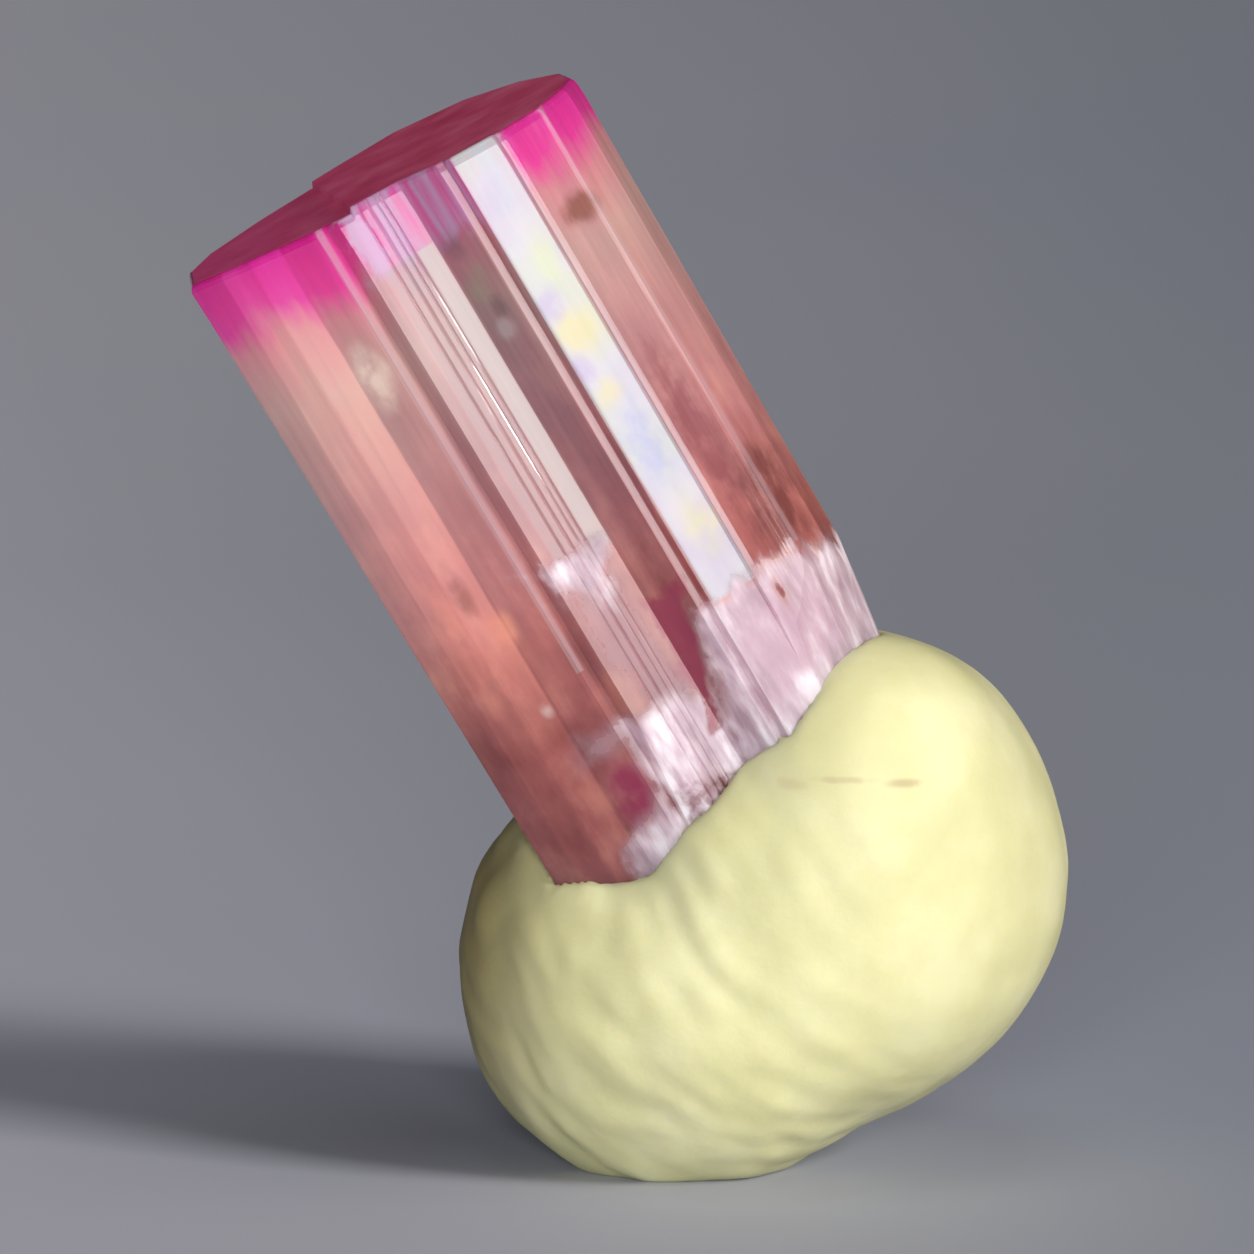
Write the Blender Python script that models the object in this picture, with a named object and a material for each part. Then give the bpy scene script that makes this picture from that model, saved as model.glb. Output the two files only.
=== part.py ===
"""A tourmaline crystal leaning in a ball of mounting putty.

Metres, +Z up. The origin is on the resting surface under the middle of the object. The crystal leans
to -X, and its broad striated side faces -Y.
"""

import math
import random

import bmesh
import bpy
from mathutils import Matrix, Vector

MM = 0.001

# The crystal's own frame: x across its broad side, y from front to back, z up its long axis,
# with the origin in the middle of the flat cap.
CRYSTAL_LENGTH = 14.0 * MM
CAP_CENTRE = Vector((-4.15, -0.4, 16.86)) * MM
LEAN = math.radians(30.4)
BASE_TAPER = 0.95

# Corners of the prism under the cap, in millimetres, anticlockwise seen from above the cap,
# with the number of growth grooves on the side that starts at each corner.
PRISM_SIDES = [
    ((-3.60, -2.30), 2),
    ((-2.50, -2.88), 1),
    ((-1.92, -3.12), 2),
    ((-1.25, -3.30), 0),
    ((-1.05, -3.24), 0),
    ((-0.84, -3.42), 5),
    ((0.33, -3.10), 1),
    ((1.05, -3.40), 0),
    ((1.17, -3.36), 0),
    ((1.30, -3.52), 0),
    ((2.09, -3.29), 0),
    ((2.16, -3.33), 0),
    ((2.26, -3.30), 2),
    ((2.90, -2.80), 0),
    ((2.98, -2.77), 3),
    ((3.42, -1.83), 2),
    ((3.58, -1.00), 3),
    ((3.36, 0.35), 4),
    ((2.62, 1.85), 3),
    ((1.55, 3.10), 3),
    ((0.20, 3.45), 3),
    ((-0.95, 2.75), 4),
    ((-2.40, 1.65), 4),
    ((-3.35, 0.55), 4),
    ((-3.68, -0.50), 3),
]
GROOVE_WIDTH = 0.11 * MM
GROOVE_DEPTH = 0.035 * MM
GROOVE_SEED = 11

# The cap: a narrow worn rim, a tilt that lowers it towards +x from where it keeps its height,
# and a growth step that leaves its left part lower.
RIM_HEIGHT = 0.09 * MM
RIM_SCALE = 0.982
CAP_TILT = math.radians(3.4)
CAP_LEVEL_AT = -2.0 * MM
STEP_HEIGHT = 0.10 * MM
STEP_AT = -1.04 * MM
STEP_TURN = math.radians(8)

# The lower end is chipped. Each chip: azimuth from the front towards +x, slope off the prism side,
# and how far below the cap it starts on that side, in degrees and millimetres.
SIDE_CHIPS = [
    (22, 5.0, 9.4),
    (45, 8.0, 8.9),
    (66, 8.0, 9.1),
    (92, 8.5, 9.2),
    (-4, 3.5, 9.9),
]
# The break across the foot: azimuth and tilt of each face, and its depth under the cap.
FOOT_BREAKS = [(20, 14, 13.5), (150, 18, 13.3), (260, 11, 13.6)]

# The putty, a pressed ball. Its outline in the XZ plane is a radius every 22.5 degrees from +X
# towards +Z, in millimetres, smaller where the crystal is pressed in.
PUTTY_CENTRE = Vector((2.24, 0.0, 4.17)) * MM
PUTTY_RADII = [
    5.03, 5.23, 5.33, 4.92, 4.12, 3.66, 3.70, 4.30,
    4.96, 5.30, 5.35, 5.02, 4.42, 3.95, 4.12, 4.60,
]  # fmt: skip
PUTTY_HALF_DEPTH = 4.9 * MM
PUTTY_SQUARENESS = 2.3
# Where fingers pressed it in or pushed it out: a direction from its centre, the change of its
# radius there in millimetres, and the spread of the press in degrees.
PUTTY_PRESSES = [
    ((-0.46, -0.79, 0.40), -0.85, 30),
    ((0.34, -0.58, 0.74), 0.95, 24),
    ((-0.24, -0.87, 0.43), 0.50, 13),
]
PUTTY_CUTS = 20

# The air left between the crystal and the walls of its socket.
SOCKET_GAP = 0.3 * MM

CRYSTAL_COLOUR = (0.60, 0.24, 0.24, 1)
PUTTY_COLOUR = (0.83, 0.80, 0.50, 1)


def clear_scene():
    """Removes the objects that the file opened with."""
    for obj in list(bpy.data.objects):
        bpy.data.objects.remove(obj)


def collection(name):
    made = bpy.data.collections.new(name)
    bpy.context.scene.collection.children.link(made)
    return made


def material(name, colour, roughness, transmission=0.0):
    made = bpy.data.materials.new(name)
    made.use_nodes = True
    shader = made.node_tree.nodes["Principled BSDF"]
    shader.inputs["Base Color"].default_value = colour
    shader.inputs["Roughness"].default_value = roughness
    shader.inputs["Metallic"].default_value = 0.0
    shader.inputs["Transmission Weight"].default_value = transmission
    return made


def object_from(bm, name, home, finish=None):
    """One object with the bmesh's shape, in the collection home."""
    mesh = bpy.data.meshes.new(name)
    bmesh.ops.recalc_face_normals(bm, faces=bm.faces)
    bm.to_mesh(mesh)
    bm.free()
    if finish:
        mesh.materials.append(finish)
    obj = bpy.data.objects.new(name, mesh)
    home.objects.link(obj)
    return obj


def crystal_placement():
    """The crystal's own frame, set in the world."""
    return Matrix.Translation(CAP_CENTRE) @ Matrix.Rotation(-LEAN, 4, "Y")


def cap_tilt():
    """The turn of the cap about the line where it keeps its height."""
    turn = Matrix.Rotation(CAP_TILT, 4, "Y")
    return Matrix.Translation((CAP_LEVEL_AT, 0, 0)) @ turn @ Matrix.Translation((-CAP_LEVEL_AT, 0, 0))


def side_points(start, end, grooves, dice):
    """Points along one side of the prism, from its first corner, with V grooves cut in it."""
    along = (end - start).normalized()
    outward = Vector((along.y, -along.x))
    length = (end - start).length
    points = [start]
    for number in range(grooves):
        middle = length * (number + dice.uniform(0.3, 0.7)) / grooves
        share = dice.uniform(0.6, 1.0)
        half = share * GROOVE_WIDTH / 2
        points.append(start + along * (middle - half))
        points.append(start + along * middle - outward * GROOVE_DEPTH * share)
        points.append(start + along * (middle + half))
    return points


def prism_outline():
    """The grooved outline under the cap, as points in the crystal's x and y."""
    dice = random.Random(GROOVE_SEED)
    corners = [Vector(corner) * MM for corner, _ in PRISM_SIDES]
    points = []
    for place, (_, grooves) in enumerate(PRISM_SIDES):
        end = corners[(place + 1) % len(corners)]
        points += side_points(corners[place], end, grooves, dice)
    return points


def prism(outline, rings):
    """A prism through the outline at each ring, a (height, scale) pair, from the lowest up."""
    bm = bmesh.new()
    bmesh.ops.create_circle(bm, cap_ends=True, radius=1, segments=len(outline))
    first_height, first_scale = rings[0]
    for vert, point in zip(bm.verts, outline):
        vert.co = (point.x * first_scale, point.y * first_scale, first_height)
    lid = bm.faces[:] + bm.edges[:]
    for (low, low_scale), (high, high_scale) in zip(rings, rings[1:]):
        grown = bmesh.ops.extrude_face_region(bm, geom=lid)
        verts = [item for item in grown["geom"] if isinstance(item, bmesh.types.BMVert)]
        lid = [item for item in grown["geom"] if item not in verts]
        size = high_scale / low_scale
        bmesh.ops.scale(bm, vec=(size, size, 1), verts=verts)
        bmesh.ops.translate(bm, vec=(0, 0, high - low), verts=verts)
    return bm


def slice_off(bm, point, normal):
    """Cuts away what lies beyond a plane, and closes the cut with a flat face."""
    geom = list(bm.verts) + list(bm.edges) + list(bm.faces)
    cut = bmesh.ops.bisect_plane(
        bm, geom=geom, dist=1e-7, plane_co=point, plane_no=normal, clear_outer=True
    )
    rim = [item for item in cut["geom_cut"] if isinstance(item, bmesh.types.BMEdge)]
    open_rim = [edge for edge in rim if edge.is_boundary]
    if open_rim:
        bmesh.ops.edgeloop_fill(bm, edges=open_rim)


def towards(azimuth, below=0.0):
    """A direction in the crystal's frame: from the front towards +x, and dipping below its x-y plane."""
    return Vector(
        (
            math.sin(azimuth) * math.cos(below),
            -math.cos(azimuth) * math.cos(below),
            -math.sin(below),
        )
    )


def chip_lower_end(bm, outline, air=0.0):
    """Bevels the sides of the lower end with flat chips, and breaks its foot across.

    With air, every flat lies that much further out.
    """
    for degrees, slope, start in SIDE_CHIPS:
        flat = towards(math.radians(degrees))
        height = -start * MM
        reach = max(point.x * flat.x + point.y * flat.y for point in outline)
        reach *= 1 + (BASE_TAPER - 1) * start * MM / CRYSTAL_LENGTH
        edge = Vector((flat.x * reach, flat.y * reach, height))
        normal = towards(math.radians(degrees), math.radians(slope))
        slice_off(bm, edge + normal * air, normal)
    for degrees, tilt, depth in FOOT_BREAKS:
        normal = towards(math.radians(degrees), math.radians(90 - tilt))
        slice_off(bm, Vector((0, 0, -depth * MM)) + normal * air, normal)


def step_cutter(home):
    """A block over the left part of the cap, as deep as the growth step."""
    size = 12 * MM
    bm = bmesh.new()
    bmesh.ops.create_cube(bm, size=size)
    bmesh.ops.translate(bm, vec=(-size / 2, 0, size / 2 - STEP_HEIGHT), verts=bm.verts)
    turn = Matrix.Translation((STEP_AT, 0, 0)) @ Matrix.Rotation(STEP_TURN, 4, "Z")
    bmesh.ops.transform(bm, matrix=cap_tilt() @ turn, verts=bm.verts)
    cutter = object_from(bm, "cap_step_cutter", home)
    cutter.matrix_world = crystal_placement()
    return cutter


def cut_with(obj, cutter):
    """Takes the cutter's shape out of obj, and keeps the cutter as a hidden helper."""
    cutter.hide_render = True
    cutter.display_type = "WIRE"
    cut = obj.modifiers.new(cutter.name, "BOOLEAN")
    cut.operation = "DIFFERENCE"
    cut.solver = "EXACT"
    cut.object = cutter


def build_crystal(home, cutters):
    """The whole crystal: a grooved prism with a stepped flat cap and a chipped foot."""
    outline = prism_outline()
    rings = [
        (-CRYSTAL_LENGTH, BASE_TAPER),
        (-RIM_HEIGHT, 1.0),
        (0.0, RIM_SCALE),
    ]
    bm = prism(outline, rings)
    top = [vert for vert in bm.verts if vert.co.z > -2 * RIM_HEIGHT]
    bmesh.ops.transform(bm, matrix=cap_tilt(), verts=top)
    chip_lower_end(bm, outline)
    finish = material("pink tourmaline", CRYSTAL_COLOUR, 0.12, transmission=0.8)
    crystal = object_from(bm, "crystal", home, finish)
    crystal.matrix_world = crystal_placement()
    cut_with(crystal, step_cutter(cutters))
    return crystal


def putty_radius(angle):
    """The outline's radius at an angle in the XZ plane, on a smooth closed curve."""
    count = len(PUTTY_RADII)
    place = angle / (2 * math.pi) * count
    first = math.floor(place)
    share = place - first
    before, near, far, after = (PUTTY_RADII[(first + k) % count] for k in (-1, 0, 1, 2))
    slope_near = (far - before) / 2
    slope_far = (after - near) / 2
    cubic = 2 * near - 2 * far + slope_near + slope_far
    square = -3 * near + 3 * far - 2 * slope_near - slope_far
    return (((cubic * share + square) * share + slope_near) * share + near) * MM


def putty_point(direction):
    """Where the pressed ball's surface lies in a direction from its centre."""
    flat = math.hypot(direction.x, direction.z)
    across = flat / putty_radius(math.atan2(direction.z, direction.x) % (2 * math.pi))
    deep = abs(direction.y) / PUTTY_HALF_DEPTH
    power = PUTTY_SQUARENESS
    reach = (across**power + deep**power) ** (-1 / power)
    for middle, change, spread in PUTTY_PRESSES:
        away = direction.angle(Vector(middle)) / math.radians(spread)
        reach += change * MM * math.exp(-away * away)
    return PUTTY_CENTRE + direction * reach


def socket_cutter(home):
    """The crystal's plain outline grown by the gap, from below its foot to above the putty."""
    corners = [Vector(corner) * MM for corner, _ in PRISM_SIDES]
    grown = [corner * (1 + SOCKET_GAP / corner.length) for corner in corners]
    bm = prism(grown, [(-CRYSTAL_LENGTH - SOCKET_GAP, BASE_TAPER), (0.0, 1.0)])
    chip_lower_end(bm, corners, air=SOCKET_GAP)
    cutter = object_from(bm, "socket_cutter", home)
    cutter.matrix_world = crystal_placement()
    return cutter


def build_putty(home, cutters):
    """The ball of putty, flat where it rests, with the socket that the crystal stands in."""
    bm = bmesh.new()
    bmesh.ops.create_cube(bm, size=2)
    bmesh.ops.subdivide_edges(bm, edges=bm.edges, cuts=PUTTY_CUTS, use_grid_fill=True)
    for vert in bm.verts:
        vert.co = putty_point(vert.co.normalized())
    slice_off(bm, Vector((0, 0, 0)), Vector((0, 0, -1)))
    finish = material("mounting putty", PUTTY_COLOUR, 0.65)
    putty = object_from(bm, "putty_base", home, finish)
    cut_with(putty, socket_cutter(cutters))
    putty.data.shade_smooth()
    putty.data.set_sharp_from_angle(angle=math.radians(35))
    return putty


def main():
    clear_scene()
    home = collection("tourmaline_crystal")
    cutters = collection("cutters")
    build_crystal(home, cutters)
    build_putty(home, cutters)


main()
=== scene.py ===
"""Looks of a tourmaline crystal that leans in a ball of mounting putty.

Metres, +Z up. The crystal's broad grooved side faces the camera, which looks along +Y.
"""

import math
import random

import bmesh
import bpy
from mathutils import Matrix, Vector, noise


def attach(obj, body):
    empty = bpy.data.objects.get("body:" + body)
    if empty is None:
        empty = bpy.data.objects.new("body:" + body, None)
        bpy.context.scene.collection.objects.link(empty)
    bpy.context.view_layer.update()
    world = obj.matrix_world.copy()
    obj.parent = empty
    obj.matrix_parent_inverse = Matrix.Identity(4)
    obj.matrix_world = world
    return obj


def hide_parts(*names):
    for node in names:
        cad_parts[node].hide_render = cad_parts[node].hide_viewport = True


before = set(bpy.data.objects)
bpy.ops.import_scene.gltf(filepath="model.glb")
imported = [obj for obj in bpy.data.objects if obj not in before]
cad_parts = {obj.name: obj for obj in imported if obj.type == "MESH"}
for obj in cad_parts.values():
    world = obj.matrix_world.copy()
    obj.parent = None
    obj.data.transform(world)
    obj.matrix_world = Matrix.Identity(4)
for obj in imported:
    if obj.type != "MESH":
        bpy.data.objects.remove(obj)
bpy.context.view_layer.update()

MM = 0.001
SEED = 5

# The crystal, in its own frame: x across the broad side, y from front to back, z up the long axis,
# from the middle of the cap.
CRYSTAL_LENGTH = 14.0 * MM
CAP_CENTRE = Vector((-4.15, -0.4, 16.86)) * MM
LEAN = math.radians(30.4)
BASE_TAPER = 0.95

# Corners of the prism under the cap, in millimetres, anticlockwise from above the cap, with the
# kind of growth on the side that starts at each corner.
PRISM_SIDES = [
    ((-3.60, -2.30), "banded"),
    ((-2.50, -2.88), "plane"),
    ((-1.92, -3.12), "banded"),
    ((-1.25, -3.30), "plane"),
    ((-1.05, -3.27), "plane"),
    ((-0.84, -3.42), "grooved"),
    ((0.33, -3.10), "banded"),
    ((1.05, -3.40), "plane"),
    ((1.17, -3.36), "plane"),
    ((1.30, -3.52), "plane"),
    ((2.09, -3.29), "plane"),
    ((2.16, -3.33), "plane"),
    ((2.26, -3.30), "banded"),
    ((2.90, -2.80), "plane"),
    ((2.98, -2.77), "banded"),
    ((3.42, -1.83), "banded"),
    ((3.58, -1.00), "banded"),
    ((3.36, 0.35), "grooved"),
    ((2.62, 1.85), "banded"),
    ((1.55, 3.10), "plane"),
    ((0.20, 3.45), "grooved"),
    ((-0.95, 2.75), "banded"),
    ((-2.40, 1.65), "plane"),
    ((-3.35, 0.55), "banded"),
    ((-3.68, -0.50), "banded"),
]
# Widths of the growth bands on each kind of side and how deep they lie, in millimetres.
GROWTH = {
    "banded": {"width": (0.10, 0.34), "depth": 0.007},
    "plane": {"width": (0.08, 0.20), "depth": 0.0015},
    "grooved": {"width": (0.05, 0.13), "depth": 0.002},
}
# Growth bands closer than this to a corner are left out, in millimetres.
CORNER_CLEARANCE = 0.02
# How strongly the bands come and go along the crystal, as a share of their depth, and how far
# the sides drift in and out, in millimetres.
SWELL_MEAN = 0.9
SWELL_CHANGE = 0.9
SWELL_LEAST = 0.1
DRIFT = 0.004
# V grooves on a grooved side: where they lie as a share of its width, and their width in
# millimetres. The slope is their depth for each millimetre of half width.
GROOVES = [(0.35, 0.06), (0.49, 0.07), (0.61, 0.05), (0.70, 0.06)]
GROOVE_SLOPE = 0.6
# The shape is worked out on rings about this far apart along the crystal, in millimetres.
RING_SPACING = 0.55

# The cap: its worn rim as rings of (height in millimetres, scale), and its tilt about the line
# where it keeps its height.
CAP_RIM = [(-0.16, 1.0), (-0.07, 0.994), (-0.02, 0.984), (0.0, 0.972)]
CAP_TILT = math.radians(3.4)
CAP_LEVEL_AT = -2.0 * MM
# A face whose normal rises more than this before the tilt is part of the flat end.
END_RISE = 0.99
# The growth step leaves the cap's left part lower: how far, where it runs, its turn in the cap,
# how wide its wall is, and how far under the cap it fades out.
CAP_STEP = 0.10 * MM
STEP_AT = -1.04 * MM
STEP_TURN = math.radians(8)
STEP_WALL = 0.04 * MM
STEP_FADE = 0.5 * MM

# Flat chips round the lower end: where they face in degrees from the front towards +x, how far
# they dip in degrees, and how far under the cap they start in millimetres.
SIDE_CHIPS = [
    (22, 5.0, 9.4),
    (45, 8.0, 8.9),
    (66, 8.0, 9.1),
    (92, 8.5, 9.2),
    (-4, 3.5, 9.9),
]
# Flats of the broken foot: where they face, how far they tilt, and their depth under the cap.
FOOT_BREAKS = [(20, 14, 13.5), (150, 18, 13.3), (260, 11, 13.6)]

# The putty ball, as a radius every 22.5 degrees in the XZ plane, in millimetres.
PUTTY_CENTRE = Vector((2.24, 0.0, 4.17)) * MM
PUTTY_RADII = [
    5.03, 5.23, 5.33, 4.92, 4.12, 3.66, 3.70, 4.30,
    4.96, 5.30, 5.35, 5.02, 4.42, 3.95, 4.12, 4.60,
]
PUTTY_HALF_DEPTH = 4.9 * MM
# 2 would make its sections from front to back ellipses; more makes them squarer.
PUTTY_SQUARENESS = 2.3
# Where fingers pressed it: the direction from its centre, how far in millimetres, and how wide
# in degrees.
PUTTY_PRESSES = [
    ((-0.46, -0.79, 0.40), -0.95, 30),
    ((0.34, -0.58, 0.74), 0.95, 24),
    ((-0.24, -0.87, 0.43), 0.50, 13),
]
# Cuts across each side of the cube that the ball is drawn from.
PUTTY_CUTS = 94
# The hair's gap between the putty and the crystal.
CONTACT_GAP = 0.012 * MM

# The lip where the putty meets the crystal: its height and how far out it reaches, then how far
# it rounds off at the contact and over what width, all in millimetres.
LIP_HEIGHT = 0.06
LIP_REACH = 0.45
LIP_ROUND = 0.12
LIP_ROUND_WIDTH = 0.07
# The lip is left out over this height in the crystal's frame, in millimetres.
LIP_TOP = -8

# Marks of kneading: their height in millimetres, how many waves they have in one millimetre,
# and where their pattern starts.
KNEADING = [(0.05, 0.45, Vector()), (0.02, 1.1, Vector((5, 0, 0))), (0.004, 4.5, Vector())]

# What looks like a finger's print: broken ridges, which run across this normal. The sizes are
# those of the pattern's cells, in millimetres. The ridges that it draws lie further apart.
RIDGE_NORMAL = Vector((0.66, -0.30, 0.69))
RIDGE_ALONG = Vector((0.70, 0.15, -0.70))
RIDGE_SPACING = 0.52
RIDGE_LENGTH = 1.05
RIDGE_HEIGHT = 0.075
RIDGE_WANDER = 0.25
# The side of the ball that the print is on, how near that side it begins and over what share it
# comes up, and how faint it is on the other sides.
PRINT_SIDE = Vector((-0.66, -0.66, -0.35)).normalized()
PRINT_FROM = 0.15
PRINT_BLEND = 0.55
PRINT_LEAST = 0.12


def linear(hex_colour):
    """An sRGB hex colour as linear red, green, blue and alpha."""
    parts = [int(hex_colour[k : k + 2], 16) / 255 for k in (0, 2, 4)]
    return [c / 12.92 if c <= 0.04045 else ((c + 0.055) / 1.055) ** 2.4 for c in parts] + [1.0]


def add(tree, kind, inputs=None, out=0, stops=None, **settings):
    """Adds a node and returns one output. Inputs are values, or the sockets that feed them."""
    made = tree.nodes.new(kind)
    for name, value in settings.items():
        setattr(made, name, value)
    for name, value in (inputs or {}).items():
        if isinstance(value, bpy.types.NodeSocket):
            tree.links.new(value, made.inputs[name])
        else:
            made.inputs[name].default_value = value
    if stops:
        points = made.color_ramp.elements
        while len(points) < len(stops):
            points.new(1.0)
        for point, (place, colour) in zip(points, stops):
            point.position = place
            point.color = linear(colour) if isinstance(colour, str) else (colour, colour, colour, 1)
    return made.outputs[out]


def blank_material(name):
    """A material with its node tree and its Principled shader."""
    made = bpy.data.materials.new(name)
    made.use_nodes = True
    return made, made.node_tree, made.node_tree.nodes["Principled BSDF"]


def finished(bm, name, finish, node, sharp=25):
    """The bmesh as a piece in place, which stands for a node of the solid model."""
    mesh = bpy.data.meshes.new(name)
    bm.to_mesh(mesh)
    bm.free()
    mesh.materials.append(finish)
    piece = bpy.data.objects.new(name, mesh)
    bpy.context.scene.collection.objects.link(piece)
    mesh.shade_smooth()
    mesh.set_sharp_from_angle(angle=math.radians(sharp))
    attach(piece, "root")
    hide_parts(node)
    return piece


# The crystal's shape


def crystal_placement():
    """The crystal's own frame, set in the world."""
    return Matrix.Translation(CAP_CENTRE) @ Matrix.Rotation(-LEAN, 4, "Y")


def cap_tilt():
    """The turn of the cap about the line where it keeps its height."""
    turn = Matrix.Rotation(CAP_TILT, 4, "Y")
    level = Matrix.Translation((CAP_LEVEL_AT, 0, 0))
    return level @ turn @ level.inverted()


def side_points(start, end, kind, dice):
    """Points along one side from its first corner, each with how far it lies in, in millimetres."""
    along = (end - start).normalized()
    length = (end - start).length
    growth = GROWTH[kind]
    stations = [0.0]
    while stations[-1] < length - growth["width"][0]:
        stations.append(stations[-1] + dice.uniform(*growth["width"]))
    stations = [place for place in stations if place < length - CORNER_CLEARANCE]
    points = [(place, dice.uniform(0, growth["depth"]) if place else 0.0) for place in stations]
    if kind == "grooved":
        for share, width in GROOVES:
            middle = length * share
            half = width / 2
            points = [point for point in points if abs(point[0] - middle) > half or point[0] == 0]
            points += [(middle - half, 0.0), (middle, half * GROOVE_SLOPE), (middle + half, 0.0)]
        points.sort()
    return [(start + along * place, lie) for place, lie in points]


def crystal_outline():
    """The fine outline under the cap: each point, how far it lies in, and which way that is."""
    dice = random.Random(SEED)
    corners = [Vector(corner) for corner, _ in PRISM_SIDES]
    outline = []
    for place, (_, kind) in enumerate(PRISM_SIDES):
        start = corners[place]
        end = corners[(place + 1) % len(corners)]
        along = (end - start).normalized()
        inward = Vector((-along.y, along.x))
        outline += [(point, lie, inward) for point, lie in side_points(start, end, kind, dice)]
    return outline


def ring_points(outline, height, scale):
    """The outline at a height in millimetres: growth bands come and go along the crystal."""
    ring = []
    for number, (point, lie, inward) in enumerate(outline):
        rise = noise.noise(Vector((number * 1.37, height * 0.35, 2.0)))
        swell = SWELL_MEAN + SWELL_CHANGE * rise
        drift = DRIFT * noise.noise(Vector((number * 0.21, height * 0.6, 9.0)))
        place = (point + inward * (lie * max(swell, SWELL_LEAST) + drift)) * scale
        ring.append(Vector((place.x, place.y, height)) * MM)
    return ring


def towards(azimuth, below=0.0):
    """A direction in the crystal's frame: from the front towards +x, dipping below its level."""
    flat = math.cos(below)
    return Vector((math.sin(azimuth) * flat, -math.cos(azimuth) * flat, -math.sin(below)))


def slice_off(bm, point, normal):
    """Cuts away what lies beyond a plane, and closes the cut with a flat face."""
    geom = bm.verts[:] + bm.edges[:] + bm.faces[:]
    cut = bmesh.ops.bisect_plane(
        bm, geom=geom, dist=1e-8, plane_co=point, plane_no=normal, clear_outer=True
    )
    rim = [item for item in cut["geom_cut"] if isinstance(item, bmesh.types.BMEdge)]
    rim = [edge for edge in rim if edge.is_boundary]
    if rim:
        bmesh.ops.edgeloop_fill(bm, edges=rim)


def chip_planes():
    """A point and the outward direction of each flat chip on the lower end."""
    planes = []
    for degrees, slope, start in SIDE_CHIPS:
        flat = towards(math.radians(degrees))
        reach = max(x * flat.x + y * flat.y for (x, y), _ in PRISM_SIDES) * MM
        reach *= 1 + (BASE_TAPER - 1) * start * MM / CRYSTAL_LENGTH
        edge = Vector((flat.x * reach, flat.y * reach, -start * MM))
        planes.append((edge, towards(math.radians(degrees), math.radians(slope))))
    return planes


def chip_lower_end(bm, air=0.0):
    """Bevels the lower end with flat chips and breaks its foot, each flat further out by air."""
    for edge, normal in chip_planes():
        slice_off(bm, edge + normal * air, normal)
    for degrees, tilt, depth in FOOT_BREAKS:
        normal = towards(math.radians(degrees), math.radians(90 - tilt))
        slice_off(bm, Vector((0, 0, -depth * MM)) + normal * air, normal)


def prism(rings):
    """A closed prism whose cross-sections are the rings, from the lowest up."""
    bm = bmesh.new()
    bmesh.ops.create_circle(bm, cap_ends=True, radius=1, segments=len(rings[0]))
    lid_verts = bm.verts[:]
    for vert, point in zip(lid_verts, rings[0]):
        vert.co = point
    lid = bm.faces[:] + bm.edges[:]
    for ring in rings[1:]:
        order = {vert: number for number, vert in enumerate(lid_verts)}
        grown = bmesh.ops.extrude_face_region(bm, geom=lid)
        fresh = [item for item in grown["geom"] if isinstance(item, bmesh.types.BMVert)]
        lid = [item for item in grown["geom"] if item not in fresh]
        numbers = {}
        for vert in fresh:
            for edge in vert.link_edges:
                other = edge.other_vert(vert)
                if other in order:
                    numbers[vert] = order[other]
        for vert in fresh:
            vert.co = ring[numbers[vert]]
        lid_verts = sorted(fresh, key=numbers.get)
    bmesh.ops.recalc_face_normals(bm, faces=bm.faces)
    return bm


def lower_cap_step(bm):
    """Lets the left part of the cap down by the growth step."""
    across = Vector((math.cos(STEP_TURN), math.sin(STEP_TURN), 0))
    for shift in (0.0, STEP_WALL):
        geom = bm.verts[:] + bm.edges[:] + bm.faces[:]
        point = Vector((STEP_AT, 0, 0)) + across * shift
        bmesh.ops.bisect_plane(bm, geom=geom, dist=1e-8, plane_co=point, plane_no=across)
    for vert in bm.verts:
        beyond = (vert.co - Vector((STEP_AT, 0, 0))).dot(across)
        share = min(max(1 - beyond / STEP_WALL, 0), 1)
        fade = min(max(1 + vert.co.z / STEP_FADE, 0), 1)
        vert.co.z -= CAP_STEP * share * fade


def build_crystal(finish, end_finish):
    """The whole crystal: finely grooved prism, stepped cap, chipped foot."""
    outline = crystal_outline()
    top = CAP_RIM[0][0]
    bottom = -CRYSTAL_LENGTH / MM
    steps = math.ceil((top - bottom) / RING_SPACING)
    rings = []
    for step in range(steps):
        height = bottom + (top - bottom) * step / steps
        scale = 1 + (BASE_TAPER - 1) * height / bottom
        rings.append(ring_points(outline, height, scale))
    rings += [ring_points(outline, height, scale) for height, scale in CAP_RIM]
    bm = prism(rings)
    bm.normal_update()
    for face in bm.faces:
        face.material_index = int(face.normal.z > END_RISE)
    lower_cap_step(bm)
    cap = [vert for vert in bm.verts if vert.co.z > 2 * top * MM]
    bmesh.ops.transform(bm, matrix=cap_tilt(), verts=cap)
    chip_lower_end(bm)
    bmesh.ops.transform(bm, matrix=crystal_placement(), verts=bm.verts)
    piece = finished(bm, "crystal_finished", finish, "crystal", sharp=6)
    piece.data.materials.append(end_finish)
    return piece


# The putty's shape


def putty_radius(angle):
    """The outline's radius at an angle in the XZ plane, on a smooth closed curve."""
    count = len(PUTTY_RADII)
    place = angle / (2 * math.pi) * count
    first = math.floor(place)
    share = place - first
    before, near, far, after = (PUTTY_RADII[(first + k) % count] for k in (-1, 0, 1, 2))
    slope_near = (far - before) / 2
    slope_far = (after - near) / 2
    cubic = 2 * near - 2 * far + slope_near + slope_far
    square = -3 * near + 3 * far - 2 * slope_near - slope_far
    return (((cubic * share + square) * share + slope_near) * share + near) * MM


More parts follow.
